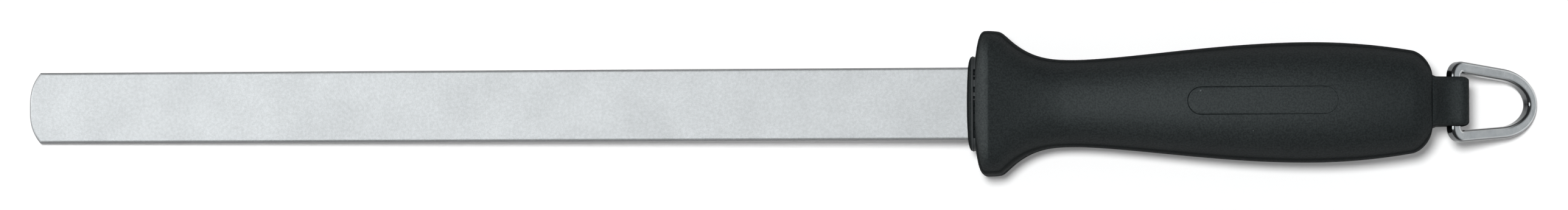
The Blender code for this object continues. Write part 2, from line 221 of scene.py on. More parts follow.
def ramp(tree, factor, stops):
    """A colour ramp with stops of (place, grey or colour)."""
    made = add_node(tree, "ValToRGB", {"Fac": factor})
    elements = made.color_ramp.elements
    while len(elements) < len(stops):
        elements.new(0.5)
    for element, (place, colour) in zip(elements, stops):
        element.position = place
        element.color = (*colour, 1) if isinstance(colour, tuple) else (colour, colour, colour, 1)
    return made.outputs["Color"]


def shades(tree, factor, low, high):
    """Turns a cloud noise into greys or colours from low to high."""
    return ramp(tree, factor, [(NOISE_LOW, low), (NOISE_HIGH, high)])


def specks(tree, place, per_metre, size, share):
    """1 on small round specks. Only a share of the cells holds one."""
    links = {"Vector": place, "Scale": per_metre}
    cells = add_node(tree, "TexVoronoi", links)
    inside = add_node(tree, "Math", {0: cells.outputs["Distance"], 1: size}, operation="LESS_THAN")
    colour = add_node(tree, "SeparateColor", {"Color": cells.outputs["Color"]})
    chosen = add_node(tree, "Math", {0: colour.outputs["Red"], 1: share}, operation="LESS_THAN")
    links = {0: inside.outputs[0], 1: chosen.outputs[0]}
    return add_node(tree, "Math", links, operation="MULTIPLY").outputs[0]


def blend(tree, factor, base, over, mode="MIX"):
    """Lays one colour over another. The Mix node has sockets for several types of data."""
    made = add_node(tree, "Mix", {"Factor": factor}, data_type="RGBA", blend_type=mode)
    sockets = [s for s in made.inputs if s.type == "RGBA"]
    for socket, value in zip(sockets, (base, over)):
        if isinstance(value, bpy.types.NodeSocket):
            tree.links.new(value, socket)
        else:
            socket.default_value = (*value, 1)
    return next(s for s in made.outputs if s.type == "RGBA")


def times(tree, base, over):
    """Two colours multiplied."""
    return blend(tree, 1.0, base, over, "MULTIPLY")


def bump(tree, height, distance, strength=1.0):
    """A normal that follows small heights."""
    links = {"Height": height, "Distance": distance, "Strength": strength}
    return add_node(tree, "Bump", links).outputs["Normal"]


def facing(tree, axis):
    """How squarely the surface faces along one axis of its piece: 1 on the face, 0 on the sides."""
    normal = add_node(tree, "TexCoord").outputs["Normal"]
    along = add_node(tree, "SeparateXYZ", {"Vector": normal}).outputs[axis]
    return add_node(tree, "Math", {0: along}, operation="ABSOLUTE").outputs[0]


print("finishes are built from", "noise, cells, ramps and bumps")

# %% [markdown]
# A finished piece is laid down with the tool's matrix, rides on its body of the frame, and stands
# for the frame's plain piece, which is then hidden.

# %% Laying a piece down
def lay_down(piece, material, body, node, matrix=tool):
    """Finishes a piece, puts it in its place and tells the frame about it."""
    piece.data.materials.append(material)
    piece.matrix_world = matrix
    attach(piece, body)
    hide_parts(node)
    size = ", ".join(f"{side * 1000:.1f}" for side in piece.dimensions)
    print(f"{piece.name}: {size} mm, {len(piece.data.polygons)} faces")


print("the front of the collar lies at", [round(value, 4) for value in tool.translation])

# %% [markdown]
# ## The coated blade
# The blade is a flat steel bar. Diamond grit is plated on it in nickel, so it is an even matt
# grey with a fine sparkle, a little cloudy, with a few dark pores. The narrow sides are painted
# darker, as painted shade for the dark reflections they show, so the finish asks which way the
# surface faces. The tip is cut to a shallow arc. A Bevel modifier would round the edges, but
# stacked outlines keep the edge band exactly even round the corners of the tip.

# %% Diamond coat
GRIT, PATCHES, CLOUDS = 3600, 1300, 90  # per metre
COAT_DARK, COAT_LIGHT = (0.56, 0.565, 0.575), (0.65, 0.655, 0.665)
# painted shade: the narrow sides of the blade are darkened in the colour, standing in for dark reflections
PAINTED_SIDE_SHADE = 0.48  # how much of the grey is left on the narrow sides
PORES, PORE_SIZE, PORE_SHARE = 300, 0.03, 0.05
PORE_GREY = (0.16, 0.16, 0.17)
GRIT_HEIGHT = 0.00006
diamond, tree, shader, place = new_finish("diamond_coat")
grit = clouds(tree, place, GRIT, detail=2.0, roughness=0.6)
patch = clouds(tree, place, PATCHES, detail=2.0)
cloud = clouds(tree, place, CLOUDS, detail=3.0)
grey = shades(tree, grit, COAT_DARK, COAT_LIGHT)
grey = times(tree, grey, shades(tree, patch, 0.88, 1.0))
grey = times(tree, grey, shades(tree, cloud, 0.92, 1.0))
# painted shade: the grey is darkened where the surface faces sideways
grey = times(tree, grey, ramp(tree, facing(tree, "Z"), [(0.45, PAINTED_SIDE_SHADE), (0.95, 1.0)]))
grey = blend(tree, specks(tree, place, PORES, PORE_SIZE, PORE_SHARE), grey, PORE_GREY)
gritty = bump(tree, grit, GRIT_HEIGHT, strength=0.5)
plug(tree, shader, {"Base Color": grey, "Normal": gritty, "Metallic": 0.85, "Roughness": 0.62})
print(diamond.name, "has", len(tree.nodes), "nodes")

# %% Outline of the blade
blade_low, blade_high = span("blade")
TIP_SAG = 0.0030  # from the corners of the tip out to its middle
TIP_POWER = 2.8  # over 2, so flat in the middle
TIP_WIDTH = 0.0196
ROOT_DEPTH = 0.0010  # how far the coat runs into the collar
BLADE_THICKNESS = 0.0050
TIP_POINTS, SIDE_POINTS = 97, 40
blade_width = 2 * blade_high.y

across = np.cos(np.linspace(0, math.pi, TIP_POINTS))
tip_x = blade_low.x + TIP_SAG * np.abs(across) ** TIP_POWER
tip = np.stack([tip_x, TIP_WIDTH / 2 * across], axis=1)
sides = np.linspace(0, 1, SIDE_POINTS)[:, None]
root = np.array([ROOT_DEPTH, blade_width / 2])
left = root + (tip[0] - root) * sides[:-1]
right = tip[-1] + (root * (1, -1) - tip[-1]) * sides[1:]
blade_line = np.concatenate([left, tip, right])
tip_part = slice(len(left), len(left) + len(tip))
print("the outline of the blade has", len(blade_line), "points")

# %% Stacked outlines
BLADE_EDGE = 0.0008  # width of the rounded edge
BLADE_EDGE_DEPTH = 0.0014
FLAT_STEP = 0.0001  # a narrow strip beside a rounding keeps the shading of the flat even
MITRE_LIMIT = 0.5


def inward(line):
    """The ways into a closed outline that runs to the left round its inside, longer at corners."""
    ahead = np.roll(line, -1, axis=0) - line
    back = line - np.roll(line, 1, axis=0)
    ahead /= np.linalg.norm(ahead, axis=1)[:, None]
    back /= np.linalg.norm(back, axis=1)[:, None]
    way = ahead + back
    way /= np.linalg.norm(way, axis=1)[:, None]
    lengthen = 1 / np.clip(np.sum(way * ahead, axis=1), MITRE_LIMIT, 1)
    return np.stack([-way[:, 1], way[:, 0]], axis=1) * lengthen[:, None]


def stacked(line, thickness, edge, depth, steps=8):
    """Rings of a plate whose edge is rounded above and below.

    The two ends of the line stay square. Close to the corners of the tip the inset lines would
    cross, so they stop at the corner's own point.
    """
    normals = inward(line)
    normals[0], normals[-1] = (0, -1), (0, 1)
    turns = np.linspace(0, math.pi / 2, steps + 1)
    insets = [edge * (1 - math.cos(angle)) for angle in turns]
    heights = [thickness / 2 - depth * (1 - math.sin(angle)) for angle in turns]
    rounding = [*zip(insets, heights), (edge + FLAT_STEP, thickness / 2)]
    profile = [(inset, -z) for inset, z in reversed(rounding)] + rounding
    rings = []
    for inset, z in profile:
        moved = line + normals * inset
        far_corner, near_corner = moved[tip_part][0], moved[tip_part][-1]
        moved[tip_part] = np.clip(moved[tip_part], (-np.inf, near_corner[1]), far_corner)
        rings.append([(x, y, z) for x, y in moved])
    return rings


def ladder(count):
    """Closes a mirrored outline with rungs from side to side."""
    rungs = [dict.fromkeys((i, i + 1, count - 2 - i, count - 1 - i)) for i in range(count // 2)]
    return [tuple(rung) for rung in rungs if len(rung) > 2]


blade_rings = stacked(blade_line, BLADE_THICKNESS, BLADE_EDGE, BLADE_EDGE_DEPTH)
blade = skin("coated_blade", blade_rings, cap=ladder)
lay_down(blade, diamond, "tool", "blade")

# %% [markdown]
# Behind the collar the bar runs on bare into the handle as a narrower tang, with a hole for each
# of the two pins. It is out of sight, but a steel with no tang would fall apart, so it is there:
# a plate with two holes cut by Booleans. The Booleans are applied, so no cutter is left over.

# %% Bare steel
MILL_LINES = 300  # per metre
MILL_STRETCH = (1, 14, 14)  # the lines run along the tool
MILL_HEIGHT = 0.00002
steel, tree, shader, place = new_finish("bare_steel")
stretch = add_node(tree, "Mapping", {"Vector": place, "Scale": MILL_STRETCH})
mill = clouds(tree, stretch.outputs["Vector"], MILL_LINES, detail=4.0)
steel_look = {"Base Color": shades(tree, mill, 0.42, 0.6), "Metallic": 1.0}
steel_look["Roughness"] = shades(tree, mill, 0.3, 0.45)
steel_look["Normal"] = bump(tree, mill, MILL_HEIGHT)
plug(tree, shader, steel_look)
print(steel.name, "has", len(tree.nodes), "nodes")

# %% Tang
_, collar_high = span("front_collar")
shoulder = collar_high.x
ROOT_WIDTH = 0.0190
TANG_WIDTH = 0.0120
TANG_THICKNESS = 0.0044
TANG_LAP = 0.0100  # how far it runs forward inside the coated bar
PIN_HOLE = 0.0023
PIN_DRILL = 0.02  # long enough to go right through
DRILL_SIDES = 64
tang_end = blade_high.x


def cut(piece, radius, length, place, axis):
    """Bores a round hole through a piece and leaves plain geometry behind."""
    shape = bmesh.new()
    form = {"segments": DRILL_SIDES, "radius1": radius, "radius2": radius, "depth": length}
    bmesh.ops.create_cone(shape, cap_ends=True, **form)
    mesh = bpy.data.meshes.new("drill")
    shape.to_mesh(mesh)
    shape.free()
    drill = bpy.data.objects.new("drill", mesh)
    aim = Vector((0, 0, 1)).rotation_difference(axis)
    drill.matrix_world = Matrix.Translation(place) @ aim.to_matrix().to_4x4()
    bpy.context.scene.collection.objects.link(drill)
    carve(piece, drill)


def carve(piece, cutter):
    """Cuts one piece out of another and throws the cutter away."""
    modifier = piece.modifiers.new("cut", "BOOLEAN")
    modifier.operation = "DIFFERENCE"
    modifier.object = cutter
    bpy.context.view_layer.update()
    graph = bpy.context.evaluated_depsgraph_get()
    mesh = bpy.data.meshes.new_from_object(piece.evaluated_get(graph))
    piece.modifiers.clear()
    piece.data = mesh
    bpy.data.objects.remove(cutter)
    mesh.shade_smooth()
    mesh.set_sharp_from_angle(angle=CREASE)


wide, narrow = ROOT_WIDTH / 2, TANG_WIDTH / 2
half_line = [(-TANG_LAP, wide), (shoulder, wide), (shoulder, narrow), (tang_end, narrow)]
tang_line = half_line + [(x, -y) for x, y in reversed(half_line)]
tang_rings = [[(x, y, z) for x, y in tang_line] for z in (-TANG_THICKNESS / 2, TANG_THICKNESS / 2)]
tang = skin("bare_tang", tang_rings)
for node in ("tang_pin_front", "tang_pin_rear"):
    low, high = span(node)
    cut(tang, PIN_HOLE, PIN_DRILL, ((low.x + high.x) / 2, 0, 0), Vector((0, 0, 1)))
lay_down(tang, steel, "tool", "blade")

# %% [markdown]
# ## Black plastic
# Handle and collar are black thermoplastic. It is never quite black: a grey sheen comes from its
# fine eroded grain, which also makes highlights broad and soft. The pits of the grain are darker
# and shine less than its tops. Seen at a glancing angle the grain hides its own shine, where
# smooth plastic would gleam. So the gloss is led down by a Layer Weight. Handling leaves pale
# dust in the grain.

# %% Grained plastic
GRAIN, PLASTIC_CLOUDS, DUST = 2100, 60, 420  # per metre
GRAIN_HEIGHT = 0.00018
DUST_SIZE, DUST_GREY = 0.09, (0.075, 0.08, 0.082)
GLANCING_SHINE = 0.015
COOL_SHINE = (0.94, 1.0, 1.0, 1)


def grained_plastic(name, dark, light, roughness, shine, dust):
    """A plastic of two tones. Dust is the share of the cells that hold a pale speck."""
    material, tree, shader, place = new_finish(name)
    grain = clouds(tree, place, GRAIN, detail=3.0, roughness=0.65)
    colour = shades(tree, clouds(tree, place, PLASTIC_CLOUDS, detail=2.0), dark, light)
    colour = times(tree, colour, ramp(tree, grain, [(0.35, 0.6), (0.65, 1.0)]))
    colour = blend(tree, specks(tree, place, DUST, DUST_SIZE, dust), colour, DUST_GREY)
    glancing = add_node(tree, "LayerWeight", {"Blend": 0.5}).outputs["Facing"]
    gloss = ramp(tree, glancing, [(0.1, shine), (0.62, GLANCING_SHINE)])
    gloss = times(tree, gloss, ramp(tree, grain, [(0.4, 0.64), (0.6, 1.0)]))
    look = {"Base Color": colour, "Specular IOR Level": gloss, "Specular Tint": COOL_SHINE}
    look["Roughness"] = shades(tree, grain, roughness - 0.05, roughness + 0.05)
    look["Normal"] = bump(tree, grain, GRAIN_HEIGHT, strength=0.5)
    plug(tree, shader, look)
    return material


HANDLE_TONES = (0.0071, 0.0096, 0.0103), (0.0088, 0.0115, 0.0122)
COLLAR_TONES = (0.0047, 0.0065, 0.0069), (0.0059, 0.0077, 0.0082)
handle_black = grained_plastic("handle_black", *HANDLE_TONES, roughness=0.6, shine=0.6, dust=0.02)
collar_black = grained_plastic("collar_black", *COLLAR_TONES, roughness=0.6, shine=0.24, dust=0.02)
print(handle_black.name, "and", collar_black.name)

# %% [markdown]
# ## Collar
# A small domed plate closes the mouth of the handle round the root of the blade. Its spigot plugs
# the mouth. As it has a slot right through, its skin is a loop: forward through the slot, over the
# front, back along the spigot and into the slot again.

# %% Collar plate
seal_low, _ = span("collar_seal")
FIT_GAP = 0.0003  # between pieces that fit together
FLANGE_EDGE = 0.0013
FLANGE_INSET = 0.0029
FLANGE_SQUARENESS = 4.0
FLANGE_RIM = 0.0013
FLANGE_BOW = 0.0005  # of the front face, from the middle to both sides
HAIR = 0.00006  # between the collar and the coated blade
BOX = 9.0  # squareness of a nearly sharp rectangle
SHARP_BOX = 3 * BOX
flange = collar_high.y, collar_high.z
spigot = flange[0] - FLANGE_RIM, flange[1] - FLANGE_RIM
slot_hole = ROOT_WIDTH / 2 + FIT_GAP, TANG_THICKNESS / 2 + FIT_GAP
blade_hole = blade_width / 2 + HAIR, BLADE_THICKNESS / 2 + HAIR
flange_rear = seal_low.x - FIT_GAP


def bowed(share, half_width, half_depth, squareness):
    """A ring on the front of the plate, from its bowed face to its flat rim."""
    ring = section(0.0, half_width, half_depth, squareness)
    bows = [FLANGE_BOW * (y / flange[0]) ** 2 for _, y, _ in ring]
    return [(bow + (FLANGE_EDGE - bow) * share, y, z) for bow, (_, y, z) in zip(bows, ring)]


rings = [section(collar_high.x, *slot_hole, BOX), section(ROOT_DEPTH + HAIR, *slot_hole, BOX)]
rings += [section(ROOT_DEPTH + HAIR, *blade_hole, SHARP_BOX), bowed(0.0, *blade_hole, SHARP_BOX)]
for angle in np.linspace(0, math.pi / 2, 9):
    inset = FLANGE_INSET * (1 - math.sin(angle))
    size = flange[0] - inset, flange[1] - inset
    rings.append(bowed(1 - math.cos(angle), *size, FLANGE_SQUARENESS))
rings.append(section(flange_rear, *flange, FLANGE_SQUARENESS))
rings.append(section(flange_rear, *spigot, FLANGE_SQUARENESS))
rings.append(section(collar_high.x, *spigot, FLANGE_SQUARENESS))
collar = skin("collar_plate", rings, loop=True)
print(f"the rear of the plate is at {flange_rear * 1000:.2f} mm")
lay_down(collar, collar_black, "tool", "front_collar")

# %% [markdown]
# ## Seal
# Between the plate and the guard sits a thin seal. Its front edge is squeezed out to a fine bead,
# a half round in section. Behind the bead it does not fill the gap everywhere: noise along the
# rim decides where the seam gapes and where it is closed. The open parts are black, partly dirt
# and partly painted shade for the deep seam, so the sunken faces get the collar's black.

# %% Seal rubber
STREAKS = 900  # per metre
RUBBER_DARK, RUBBER_LIGHT = (0.027, 0.030, 0.031), (0.037, 0.040, 0.041)
STREAK_HEIGHT = 0.00003
rubber, tree, shader, place = new_finish("seal_rubber")
streak = clouds(tree, place, STREAKS, detail=3.0)
rubber_look = {"Base Color": shades(tree, streak, RUBBER_DARK, RUBBER_LIGHT)}
rubber_look["Roughness"] = shades(tree, streak, 0.6, 0.75)
rubber_look["Normal"] = bump(tree, streak, STREAK_HEIGHT)
plug(tree, shader, rubber_look)
print(rubber.name, "has", len(tree.nodes), "nodes")

# %% Seal ring
SEAL_BEAD = 0.00045  # along the tool
SEAL_BULGE = 0.00015
SEAL_RECESS = 0.0006
SEAM_PLACES = [-0.0105, -0.0095, 0.0008, 0.0016, 0.0095, 0.0105]  # across the tool
SEAM_GAPES = [-1.5, 0.45, 0.45, -0.05, -0.05, -1.5]  # a line on the near side, dots on the far side
SEAM_UNEVEN = 1.3  # share of the noise in it
SEAM_NOISE = 1600, 150  # per metre, across and up
SEAM_SUDDEN = 4  # how suddenly it goes from closed to open
SUNKEN = 0.9  # faces further in than this share of the rim are black
SEAL_STEPS = 140
GUARD_BACK = 0.0003  # the worn front of the guard starts a little late
grip_low, grip_high = span("handle_grip")
face = grip_low.x + GUARD_BACK


def seal_ring(x, grow):
    """A ring of the plate's outline, grown or shrunk on all sides."""
    return section(x, flange[0] + grow, flange[1] + grow, FLANGE_SQUARENESS, SEAL_STEPS)


def seam_ring(x):
    """A ring at the bottom of the seam. Where the rubber was squeezed up, the seam is closed."""
    tight, gaping = seal_ring(x, 0.0), seal_ring(x, -SEAL_RECESS)
    ring = []
    for outer, inner in zip(tight, gaping):
        spot = outer[1] * SEAM_NOISE[0], outer[2] * SEAM_NOISE[1], 0
        gape = np.interp(outer[1], SEAM_PLACES, SEAM_GAPES) + SEAM_UNEVEN * noise.noise(spot)
        share = min(1.0, max(0.0, gape * SEAM_SUDDEN))
        ring.append(tuple(Vector(outer).lerp(Vector(inner), share)))
    return ring


rings = [seal_ring(face, FIT_GAP - FLANGE_RIM), seal_ring(flange_rear, FIT_GAP - FLANGE_RIM)]
for angle in np.linspace(0, math.pi, 9):
    x = flange_rear + SEAL_BEAD * (1 - math.cos(angle)) / 2
    rings.append(seal_ring(x, SEAL_BULGE * math.sin(angle)))
rings += [seam_ring(flange_rear + SEAL_BEAD), seam_ring(face)]
seal = skin("squeezed_seal", rings, loop=True)
lay_down(seal, rubber, "tool", "collar_seal")
# partly dirt, partly painted shade: the sunken faces of the open seam get the collar's black
seal.data.materials.append(collar_black)
for polygon in seal.data.polygons:
    _, y, z = polygon.center
    outward = sum((abs(v) / half) ** FLANGE_SQUARENESS for v, half in zip((y, z), flange))
    polygon.material_index = int(outward < SUNKEN)

# %% [markdown]
# ## Handle
# The handle is one moulding: a wide guard with a soft bevel at its front, a flank that sweeps
# down to a narrow neck, a full belly for the palm, a rounded end and a lug for the ring. It was
# moulded in two halves, and the lower half stands a little out of register, so a fine step runs
# all round it at mid-height. A sculpt or a subdivided box would blur the bevel and the step, so
# each section is calculated.

# %% Sizes of the handle
pivot = tool.inverted() @ Vector(frame["joints"][0]["pos_m"])
GUARD_HALF_DEPTH = 0.0150
GUARD_EDGE_LENGTH = 0.0036
GUARD_EDGE_INSET = np.array([0.0064, 0.0021])
GUARD_EDGE_POWERS = np.array([4.5, 1.9])  # a tight corner in width, a soft bevel in depth
GUARD_LAND = 0.0034  # the level strip behind the bevel
GUARD_CORNER = 0.0010  # rounding where the land turns into the flank
GUARD_SQUARENESS = 4.6
FLANK_POWER = 2.95
RIDGE_POWER = 1.6
RIDGE_LENGTH = 0.0205
FACE_TO_NECK = 0.0271
FACE_TO_BELLY = 0.0912
GRIP_TO_PIVOT = 0.0061
NECK = np.array([0.0239, 0.0205]) / 2  # half the width and half the depth
BELLY = np.array([0.0330, 0.0270]) / 2
TAIL = np.array([0.0283, 0.0213]) / 2
SWELL_EASE = 0.82
GRIP_SQUARENESS = 2.3
TAIL_EDGE_LENGTH = 0.0057
LUG_ROOT = np.array([0.0136, 0.0134]) / 2
LUG = np.array([0.0136, 0.00836]) / 2
LUG_EDGE = np.array([0.0011, 0.0016])
LUG_ROUND = 0.0024
LUG_SQUARENESS = 7.0
LUG_BLEND = 0.0009  # from the end of the grip to the full lug
LUG_BORE = 0.00245
LUG_DRILL = 0.04
guard = np.array([grip_high.y, GUARD_HALF_DEPTH])
crest_at = face + GUARD_EDGE_LENGTH
neck_at = face + FACE_TO_NECK
belly_at = face + FACE_TO_BELLY
grip_end = pivot.x - GRIP_TO_PIVOT
tail_edge = grip_end - TAIL_EDGE_LENGTH
lug_rear = grip_high.x
print(f"handle from {face * 1000:.1f} to {lug_rear * 1000:.1f} mm")
print(f"pivot of the ring at {pivot.x * 1000:.1f} mm")

# %% Stations along the handle
def guard_stations():
    """Each station is x, half the width, half the depth and the squareness of one section."""
    for forward in np.linspace(0, 1, 37):
        inset = GUARD_EDGE_INSET * (1 - forward) ** GUARD_EDGE_POWERS
        yield face + GUARD_EDGE_LENGTH * forward, *(guard - inset), GUARD_SQUARENESS


def past_land(x):
    """Distance into the flank, which starts with a rounded corner."""
    beyond = x - crest_at - GUARD_LAND
    return (beyond + math.hypot(beyond, GUARD_CORNER)) / 2


def flank_stations():
    """From the crest of the guard down to the neck."""
    for x in np.linspace(crest_at, neck_at, 61)[1:]:
        along = (past_land(x) - past_land(crest_at)) / (past_land(neck_at) - past_land(crest_at))
        fall = (1 - along) ** FLANK_POWER
        drop = max(0.0, 1 - (x - crest_at) / RIDGE_LENGTH) ** RIDGE_POWER
        width, depth = NECK + (guard - NECK) * (fall, drop)
        yield x, width, depth, GRIP_SQUARENESS + (GUARD_SQUARENESS - GRIP_SQUARENESS) * drop


def swell_stations():
    """From the neck up to the belly."""
    for share in np.linspace(0, 1, 81)[1:]:
        eased = share**SWELL_EASE
        size = NECK + (BELLY - NECK) * eased * eased * (3 - 2 * eased)
        yield neck_at + (belly_at - neck_at) * share, *size, GRIP_SQUARENESS


def tail_size(x):
    """Half the width and half the depth behind the belly."""
    return BELLY + (TAIL - BELLY) * ((x - belly_at) / (tail_edge - belly_at)) ** 2


def tail_stations():
    """From the belly to the end of the grip, which rolls in towards the lug."""
    for x in np.linspace(belly_at, tail_edge, 41)[1:]:
        yield x, *tail_size(x), GRIP_SQUARENESS
    for angle in np.linspace(0, math.pi / 2, 25)[1:-1]:
        x = tail_edge + TAIL_EDGE_LENGTH * math.sin(angle)
        fall = 1 - math.cos(angle)
        size = tail_size(x) + (LUG_ROOT - tail_size(x)) * fall
        yield x, *size, GRIP_SQUARENESS + (LUG_SQUARENESS - GRIP_SQUARENESS) * fall**3


def lug_stations():
    """From the grip to the rounded rear of the lug."""
    for share in np.linspace(0, 1, 15)[:-1]:
        x = grip_end + LUG_BLEND
        size = LUG + (LUG_ROOT - LUG) * (1 - share) ** 3
        yield x + (lug_rear - LUG_ROUND - x) * share, *size, LUG_SQUARENESS
    for angle in np.linspace(0, math.pi / 2, 13):
        inset = LUG_EDGE * (1 - math.cos(angle))
        yield lug_rear - LUG_ROUND * (1 - math.sin(angle)), *(LUG - inset), LUG_SQUARENESS


stations = [*guard_stations(), *flank_stations(), *swell_stations()]
stations += [*tail_stations(), *lug_stations()]
print(len(stations), "sections along the handle")

# %% Two halves out of register
HALF_STEPS = 48
SLIP = np.array([0.00014, -0.00008])  # of the lower half, along and across
LIP = 0.00010  # depth of the groove between the halves
LIP_WANDER = 0.00008
LIP_NOISE = 1500  # per metre
LIP_RISE = 0.00010  # from the lip up to the full width
SEAM = 0.00002  # half the gap between the two lips
SLIP_SHARES = [0.0, 1.0, 0.25, 0.0]
slip_places = [face, crest_at + GUARD_LAND, grip_end - TAIL_EDGE_LENGTH / 2, grip_end]


def moulded_ring(x, half_width, half_depth, squareness, lips=1.0):
    """A ring of both halves. Each ends in a lip at mid-height, so the step is a real edge."""
    over = upper_half(half_width, half_depth, squareness, HALF_STEPS)
    lip = lips * (LIP + LIP_WANDER * noise.noise((x * LIP_NOISE, 0, 0)))
    near = [(half_width - lip, SEAM), (half_width, LIP_RISE)]
    half = near + [tuple(point) for point in over[1:-1]] + [(-y, z) for y, z in reversed(near)]
    along, across = SLIP * lips * np.interp(x, slip_places, SLIP_SHARES)
    return [(x, y, z) for y, z in half] + [(x + along, across - y, -z) for y, z in half]


slip_along, slip_across = SLIP * 1000
print(f"the lower half slips by {slip_along:.2f} mm along and {slip_across:.2f} mm across")

# %% Hollow for the core
core_low, core_high = span("tang_core")
pin_low, pin_high = span("tang_pin_rear")
RIB_HEIGHT = 0.0012
RIB_ROW = 0.0168  # half the row of keying ribs round the rear pin
ribbed = core_high.y + FIT_GAP, core_high.z + FIT_GAP
plain = ribbed[0] - RIB_HEIGHT, ribbed[1] - RIB_HEIGHT
rib_start = (pin_low.x + pin_high.x) / 2 - RIB_ROW
mouth = spigot[0] + FIT_GAP, spigot[1] + FIT_GAP
hollow = [(core_high.x + FIT_GAP, *ribbed), (rib_start, *ribbed), (rib_start, *plain)]
hollow += [(core_low.x - FIT_GAP, *plain), (core_low.x - FIT_GAP, *mouth), (face, *mouth)]
rings = [moulded_ring(*place, BOX, lips=0.0) for place in hollow]
rings += [moulded_ring(*station) for station in stations]
handle = skin("moulded_handle", rings)
cut(handle, LUG_BORE, LUG_DRILL, pivot, Vector((0, 1, 0)))
print("the bored handle has", len(handle.data.polygons), "faces")

# %% [markdown]
# The mould of the belly holds a small insert with round ends, and its outline shows as a hairline
# on the handle. A line in the finish would not catch the light, so a thin V is swept along the
# outline and cut away. The V is deepest at the front, where the insert sat least well.

# %% Outline of the mould insert
INSERT_FRONT = 0.0608
INSERT_LENGTH = 0.0410
INSERT_RADIUS = 0.0038
HAIRLINE = 0.00011  # half its width, and its depth
HAIRLINE_FRONT, HAIRLINE_FADE = 1.3, 0.7  # at the front, and the loss to the rear
places, widths, depths = np.array(stations)[:, :3].T


def top_of_handle(x, y):
    """Height of the handle's surface over a place on its middle plane."""
    width, depth = np.interp(x, places, widths), np.interp(x, places, depths)
    return depth * (1 - (abs(y) / width) ** GRIP_SQUARENESS) ** (1 / GRIP_SQUARENESS)


front_end = INSERT_FRONT + INSERT_RADIUS
rear_end = INSERT_FRONT + INSERT_LENGTH - INSERT_RADIUS
insert_line = [(rear_end, angle) for angle in np.linspace(-math.pi / 2, math.pi / 2, 41)]
insert_line += [(x, math.pi / 2) for x in np.linspace(rear_end, front_end, 61)[1:-1]]
insert_line += [(front_end, angle) for angle in np.linspace(math.pi / 2, 3 * math.pi / 2, 41)]
insert_line += [(x, -math.pi / 2) for x in np.linspace(front_end, rear_end, 61)[1:-1]]
rings = []
for middle_x, angle in insert_line:
    out_x, out_y = math.cos(angle), math.sin(angle)
    x, y = middle_x + INSERT_RADIUS * out_x, INSERT_RADIUS * out_y
    size = HAIRLINE * (HAIRLINE_FRONT - HAIRLINE_FADE * (x - INSERT_FRONT) / INSERT_LENGTH)
    z = top_of_handle(x, y)
    groove = (-2 * size, size), (2 * size, size), (0, -size)
    rings.append([(x + out_x * out, y + out_y * out, z + up) for out, up in groove])
carve(handle, skin("hairline", rings, loop=True))
lay_down(handle, handle_black, "tool", "handle_grip")

# %% [markdown]
# ## Ring
# The ring is square nickel-plated wire, bent to a long loop. Both ends point inwards and are
# sprung into the lug. A curve with a bevel would do, but at the tight bends near the lug a
# curve's bevel can twist. Here the loop is flat, so each section can simply be set square to the
# line: one direction along the loop's plane, one across it. The flats stay bright and the sides
# are painted darker, as painted shade for dark reflections, so this finish looks at the facing too.

# %% Nickel plate
PITS, SHEEN = 2600, 350  # per metre
PIT_HEIGHT = 0.00003
NICKEL_DARK, NICKEL_LIGHT = (0.58, 0.60, 0.61), (0.64, 0.66, 0.67)
# painted shade: the sides of the wire are darkened in the colour, standing in for dark reflections
PAINTED_WIRE_SHADE = 0.24  # how much of the tint is left on the sides
nickel, tree, shader, place = new_finish("nickel_plate")
pits = clouds(tree, place, PITS, detail=3.0, roughness=0.6)
sheen = clouds(tree, place, SHEEN, detail=2.0)
tint = shades(tree, sheen, NICKEL_DARK, NICKEL_LIGHT)
# painted shade: the tint is darkened where the wire faces sideways
tint = times(tree, tint, ramp(tree, facing(tree, "Z"), [(0.8, PAINTED_WIRE_SHADE), (0.99, 1.0)]))
nickel_look = {"Base Color": tint, "Metallic": 1.0}
nickel_look["Roughness"] = shades(tree, sheen, 0.12, 0.20)
nickel_look["Normal"] = bump(tree, pits, PIT_HEIGHT, strength=0.3)
plug(tree, shader, nickel_look)
print(nickel.name, "has", len(tree.nodes), "nodes")

# %% Line of the ring
WIRE = 0.0032
WIRE_CORNER = 0.0009
SIDE_GAP = 0.0009
BASE_BEND = 0.0024
BASE_BACK = 0.0005  # the bore is loose, and the ring leans towards the handle in it
END_LENGTH = 0.0133
FAR_PLAY = 0.0003  # the round end reaches a touch further than the plain ring
END_HALF_WIDTH = 0.0081
STUB = 0.0005  # gap from the middle to each wire end
FAR_BAND = 0.001  # corners this close to the greatest reach are the far end
ring_corners = along_tool("hanging_ring") - start - np.array([pivot.x, 0, pivot.z])
reach = np.hypot(ring_corners[:, 0], ring_corners[:, 2])
far = ring_corners[reach > reach.max() - FAR_BAND]
droop = math.atan2(-far[:, 2].mean(), far[:, 0].mean())
base = LUG[0] + SIDE_GAP + WIRE / 2
outer = math.sqrt(reach.max() ** 2 - (WIRE / 2 - WIRE_CORNER) ** 2) + FAR_PLAY
middle = outer - WIRE / 2 - END_LENGTH


def leg_touch():
    """Angle on the round end where a straight leg from the bend meets it."""
    stretch = END_LENGTH / END_HALF_WIDTH
    rise = math.atan2(base * stretch, -middle - BASE_BACK)
    return rise - math.acos(END_LENGTH / math.hypot(middle + BASE_BACK, base * stretch))


touch = leg_touch()
turns = np.linspace(touch, 0, 49)
end = [(middle + END_LENGTH * math.cos(a), END_HALF_WIDTH * math.sin(a)) for a in turns]
leg = np.array(end[0]) - (-BASE_BACK, base)
bend = math.atan2(-leg[1], leg[0]) + math.pi / 2
trim = BASE_BEND * math.tan((math.pi - bend) / 2)
print(f"the ring hangs {math.degrees(droop):.1f} degrees below the tool")

